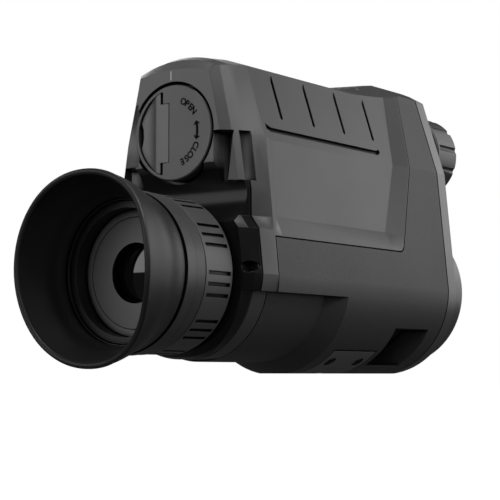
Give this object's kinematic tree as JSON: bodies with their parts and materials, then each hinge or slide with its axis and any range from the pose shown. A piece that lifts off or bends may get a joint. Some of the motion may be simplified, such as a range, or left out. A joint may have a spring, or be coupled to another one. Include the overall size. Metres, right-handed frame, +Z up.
{
  "type": "thermal monocular",
  "caption": "Hand-held thermal monocular: flared winged eyecup, ribbed diopter ring, round battery cap with fold-out handle, rubber-armoured belly with strap slot, focus knob, objective.",
  "frame": {"origin": "mouth of the tripod socket, in the flat base", "axes": "+Y forwards along the line of sight, +X to the user's right, +Z up"},
  "size_m": [0.051, 0.1628, 0.087],
  "materials": {
    "housing": "fine satin charcoal",
    "rear_gloss": "gloss black",
    "armour": "fine leather-like grain",
    "bezel": "satin dark grey",
    "window": "polished black, infrared-clear",
    "cup_rubber": "soft matt rubber",
    "ring_plastic": "satin black",
    "cell_annulus": "satin anodised",
    "barrel_metal": "black anodised",
    "glass": "coated",
    "germanium": "germanium, dark mirror",
    "steel": "brushed",
    "black_screw": "black oxide",
    "contact": "gold plated",
    "seal": "silicone",
    "cell_wrap": "shrink wrap",
    "board": "solder mask",
    "chip": "moulded",
    "blade": "matt",
    "light_pipe": "clear",
    "plate": "fine texture"
  },
  "bodies": {
    "housing": {"battery_spring": "contact", "battery_tube": "barrel_metal", "bezel_screws": "black_screw", "board_chips": "chip", "button_board": "board", "button_panel": "housing", "charging_port": "steel", "display": "chip", "display_board": "board", "display_holder": "barrel_metal", "eyepiece_barrel": "barrel_metal", "finder_lenses": "glass", "finder_module": "chip", "finder_window": "window", "focus_collar": "barrel_metal", "front_bezel": "bezel", "front_gasket": "seal", "front_lens": "germanium", "grip_armour": "armour", "left_lanyard_bar": "housing", "main_board": "board", "main_housing": "housing", "objective_barrel": "barrel_metal", "objective_ring": "ring_plastic", "plate_screws": "black_screw", "rear_gasket": "seal", "rear_housing": "rear_gloss", "rear_screws": "black_screw", "right_lanyard_bar": "housing", "sensor_board": "board", "sensor_frame": "barrel_metal", "shutter_motor": "chip", "status_light": "light_pipe", "thermal_sensor": "chip", "tripod_insert": "steel", "tripod_plate": "plate"},
    "eyecup": {"eyecup": "cup_rubber", "eyecup_ring": "ring_plastic"},
    "diopter": {"diopter_ring": "ring_plastic"},
    "eyepiece_cell": {"lens_cell": "cell_annulus", "lens_retainer": "cell_annulus", "eye_lens": "glass", "lens_spacer": "barrel_metal", "field_lens": "glass"},
    "plug": {"cap_contact": "contact"},
    "cap": {"battery_cap": "ring_plastic", "handle_pin": "steel", "cap_seal": "seal"},
    "handle": {"cap_handle": "ring_plastic"},
    "battery": {"battery_cell": "cell_wrap"},
    "focus_knob": {"focus_knob": "ring_plastic", "focus_shaft": "steel"},
    "focus_slide": {"focus_cell": "barrel_metal", "rear_lens": "germanium", "focus_fork": "steel"},
    "shutter": {"shutter_blade": "blade"},
    "power_button": {"power_button": "ring_plastic"},
    "menu_button": {"menu_button": "ring_plastic"},
    "zoom_button": {"zoom_button": "ring_plastic"},
    "port_cover": {"port_cover": "armour"}
  },
  "joints": [
    {"name": "eyecup_turn", "type": "hinge", "parent": "housing", "child": "eyecup", "pos_m": [0, 0, 0.025], "axis": [0, 1, 0], "range_deg": [0, 180]},
    {"name": "diopter_turn", "type": "hinge", "parent": "housing", "child": "diopter", "pos_m": [0, 0, 0.025], "axis": [0, 1, 0], "range_deg": [-90, 90]},
    {"name": "eyepiece_shift", "type": "slide", "parent": "housing", "child": "eyepiece_cell", "axis": [0, 1, 0], "range_m": [-0.0018, 0.0018]},
    {"name": "cap_pull", "type": "slide", "parent": "housing", "child": "plug", "axis": [0, -1, 0], "range_m": [0, 0.115]},
    {"name": "cap_turn", "type": "hinge", "parent": "plug", "child": "cap", "pos_m": [-0.0004, 0, 0.0624], "axis": [0, 1, 0], "range_deg": [0, 90]},
    {"name": "handle_fold", "type": "hinge", "parent": "cap", "child": "handle", "pos_m": [-0.0029, -0.06035, 0.0624], "axis": [0, 0, 1], "range_deg": [0, 90]},
    {"name": "battery_slide", "type": "slide", "parent": "housing", "child": "battery", "axis": [0, -1, 0], "range_m": [0, 0.069]},
    {"name": "focus_turn", "type": "hinge", "parent": "housing", "child": "focus_knob", "pos_m": [0.005, 0, 0.0683], "axis": [0, 1, 0], "range_deg": [-135, 135]},
    {"name": "focus_shift", "type": "slide", "parent": "housing", "child": "focus_slide", "axis": [0, 1, 0], "range_m": [-0.0015, 0.0015]},
    {"name": "shutter_swing", "type": "hinge", "parent": "housing", "child": "shutter", "pos_m": [-0.0135, 0, 0.0375], "axis": [0, 1, 0], "range_deg": [-47, 0]},
    {"name": "power_press", "type": "slide", "parent": "housing", "child": "power_button", "axis": [0, 0, -1], "range_m": [0, 0.0008], "stiffness_N_per_m": 500},
    {"name": "menu_press", "type": "slide", "parent": "housing", "child": "menu_button", "axis": [0, 0, -1], "range_m": [0, 0.0008], "stiffness_N_per_m": 500},
    {"name": "zoom_press", "type": "slide", "parent": "housing", "child": "zoom_button", "axis": [0, 0, -1], "range_m": [0, 0.0008], "stiffness_N_per_m": 500},
    {"name": "cover_swing", "type": "hinge", "parent": "housing", "child": "port_cover", "pos_m": [-0.0233, 0.02345, 0.05], "axis": [0, 0, 1], "range_deg": [0, 100]}
  ],
  "couplings": [
    {"joint": "diopter_turn", "follows": "eyepiece_shift", "rad_per_m": 871.79},
    {"joint": "focus_turn", "follows": "focus_shift", "rad_per_m": 1569.2},
    {"joint": "battery_slide", "follows": "cap_pull", "ratio": 0.6}
  ]
}
